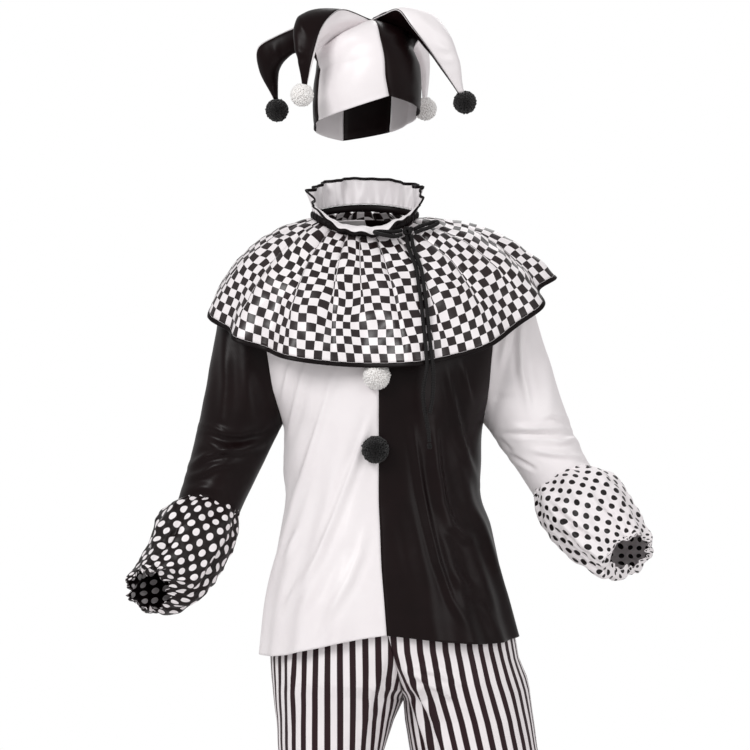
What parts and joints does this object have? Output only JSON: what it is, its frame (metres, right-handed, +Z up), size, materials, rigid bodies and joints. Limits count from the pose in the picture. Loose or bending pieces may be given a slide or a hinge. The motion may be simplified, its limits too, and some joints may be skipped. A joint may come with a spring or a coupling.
{
  "type": "jester costume",
  "caption": "Worn jester suit of black and white cloth: pointed hat with yarn pompoms, checked capelet with frill and drawstring, half and half tunic with dotted cuffs, striped trousers.",
  "frame": {"origin": "middle of the neck at the height where the tunic and capelet rest on the wearer's shoulders", "axes": "+Z up, -Y towards the front, +X towards the viewer's right when seen from the front"},
  "size_m": [0.7899, 0.3616, 1.7222],
  "materials": {
    "white_cloth": "white polyester satin, soft sheen",
    "black_cloth": "black polyester satin, soft warm sheen",
    "checked_cloth": "polyester satin printed in small black and white checks",
    "black_dotted_cloth": "black polyester satin with white dots",
    "white_dotted_cloth": "white polyester satin with black dots",
    "striped_cloth": "polyester with narrow upright black and white stripes",
    "black_binding": "black bias binding, satin",
    "white_yarn": "off white acrylic yarn, fluffy",
    "black_yarn": "black acrylic yarn, fluffy",
    "black_cord": "black braided cord"
  },
  "bodies": {
    "root": {"tunic_front_white": "white_cloth", "tunic_front_black": "black_cloth", "tunic_back_white": "white_cloth", "tunic_back_black": "black_cloth", "sleeve_black": "black_cloth", "sleeve_white": "white_cloth", "cuff_black_dots": "black_dotted_cloth", "cuff_white_dots": "white_dotted_cloth", "trouser_leg_left": "striped_cloth", "trouser_leg_right": "striped_cloth", "trouser_waistband": "striped_cloth", "capelet": "checked_cloth", "capelet_hem_binding": "black_binding", "neck_casing": "black_binding", "neck_frill": "white_cloth", "frill_binding": "black_binding", "hat_front_left": "white_cloth", "hat_front_right": "black_cloth", "hat_right_side": "white_cloth", "hat_back_right": "black_cloth", "hat_back_left": "white_cloth", "hat_left_side": "black_cloth", "hat_pompom_front_left": "white_yarn", "hat_pompom_front_right": "black_yarn", "hat_pompom_back_right": "white_yarn", "hat_pompom_back_left": "black_yarn", "tunic_pompom_white": "white_yarn", "tunic_pompom_black": "black_yarn", "drawstring_long": "black_cord", "drawstring_short": "black_cord", "drawstring_bow_left": "black_cord", "drawstring_bow_right": "black_cord", "drawstring_knot": "black_cord", "drawstring_end_knot": "black_cord"}
  },
  "joints": []
}
